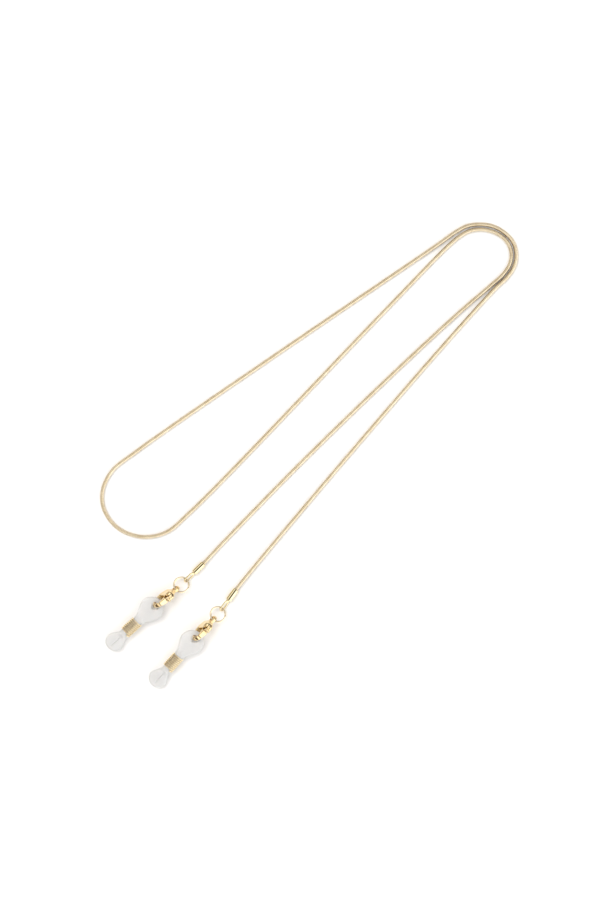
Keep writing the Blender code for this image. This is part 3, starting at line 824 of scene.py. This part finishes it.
def helix(start, radius, pitch, turns, per_turn):
    """Points on a helix round X."""
    turn = 2 * pi * np.arange(round(per_turn * turns) + 1) / per_turn
    return np.stack([start + pitch * turn / (2 * pi), radius * np.cos(turn), radius * np.sin(turn)], 1)


def clasp_spring(side, frames):
    """The small compression spring under the lever, upright in its pocket."""
    rise = (SPRING_TOP_V - SPRING_FOOT_V) / SPRING_TURNS
    x, y, z = helix(SPRING_FOOT_V, SPRING_R, rise, SPRING_TURNS, SPRING_STEPS).T
    verts, faces = tube(np.stack([SPRING_U + y, z, x], 1), SPRING_WIRE_R, SPRING_SIDES)
    spring = piece(
        side + "_clasp_spring_wire", verts, faces, frames["clasp"], STEEL, side + "_clasp",
        side + "_clasp_spring",
    )


# ---------------------------------------------------------------- temple grip and coil


def temple_grip(side, frames):
    """One moulding: a flat leaf with the hook's hole, a round neck, and a lobe with a slit."""
    leaf = curve_through(
        ((0.0, 0.0), (0.3, 1.5), (1.1, 2.8), (2.4, 3.8), (4.2, 4.35), (5.8, 4.15), (7.4, 3.35), (9.2, 2.3),
         (10.9, 1.7)), 4
    )
    leaf = mirrored(np.vstack([leaf, (LEAF_LENGTH + 0.2, 0.0)]))
    lobe_start = LEAF_LENGTH + COIL_LENGTH
    lobe = curve_through(
        ((0.9, 0.0), (1.1, 1.5), (2.2, 2.2), (3.4, 3.0), (4.6, 3.35), (5.9, 3.2), (7.0, 2.45), (7.7, 1.3),
         (8.0, 0.0)), 4
    )
    lobe = mirrored(lobe + (lobe_start, 0.0))
    hole = curve_through(
        ((0.0, 0.0), (0.05, 0.75), (0.3, 1.3), (0.8, 1.5), (1.4, 1.4), (2.0, 0.95), (2.4, 0.45),
         (2.6, 0.0)), 4
    )
    hole = mirrored(hole + (RIM_WIDTH, 0.0))
    slit_near = lobe_start + SLIT_FROM_COIL
    slit_far = slit_near + TEMPLE_SLIT_LENGTH - TEMPLE_SLIT_WIDTH
    neck_end = lobe_start + NECK_IN_LOBE
    neck_stops = (NECK_START, NECK_FULL_FROM, lobe_start + NECK_FULL_IN_LOBE, neck_end)

    def distance(x, y, z):
        leaf_flat = outline_distance(x, y, leaf)
        lobe_flat = outline_distance(x, y, lobe)
        leaf_shape = rounded(leaf_flat, z, GRIP_HALF_THICK, LEAF_EDGE_R)
        crown = LOBE_CROWN * np.clip(-lobe_flat / LOBE_CROWN_REACH, 0, 1) * (z > 0)
        lobe_shape = rounded(lobe_flat, z, GRIP_HALF_THICK + crown, LOBE_EDGE_R)
        neck_r = np.interp(x, neck_stops, (0.3, NECK_R, NECK_R, 0.5))
        reach = np.abs(x - (NECK_START + neck_end) / 2) - (neck_end - NECK_START) / 2
        neck = np.maximum((np.hypot(y, z) - neck_r) * 0.93, reach)
        shape = joined(joined(leaf_shape, neck, 0.5), lobe_shape, 0.6)
        shape = cut(shape, outline_distance(x, y, hole), 0.20)
        slit = np.hypot(x - np.clip(x, slit_near, slit_far), y) - TEMPLE_SLIT_WIDTH / 2
        # The slit is shut at rest, so it shows only as a groove in each face.
        groove = np.maximum(slit, GRIP_HALF_THICK - SLIT_SHOWS - np.abs(z))
        return cut(shape, groove, 0.10)

    points, faces = skin(distance, (-0.3, -4.7, -1.7), (25.5, 4.7, 1.8), GRIP_CELL)
    grip = piece(
        side + "_grip_moulding", points, faces, frames["moulding"], SILICONE, side + "_grip",
        side + "_temple_grip",
    )


def adjusting_coil(side, frames):
    """A wire wound on the neck."""
    turns = helix(COIL_START, COIL_R, COIL_PITCH, COIL_TURNS, COIL_STEPS)
    verts, faces = tube(turns, COIL_WIRE_R, COIL_SIDES)
    coil = piece(
        side + "_coil_wire", verts, faces, frames["moulding"], COIL_GOLD, side + "_coil",
        side + "_adjusting_coil",
    )


# ---------------------------------------------------------------- the strap

all_frames = [frames_of(end) for end in ENDS]
snake_chain(all_frames)
for end, frames in zip(ENDS, all_frames):
    side = end["side"]
    end_cap(side, frames)
    jump_ring(side, frames)
    clasp_body(side, frames)
    clasp_trigger(side, frames)
    clasp_rivet(side, frames)
    clasp_spring(side, frames)
    temple_grip(side, frames)
    adjusting_coil(side, frames)
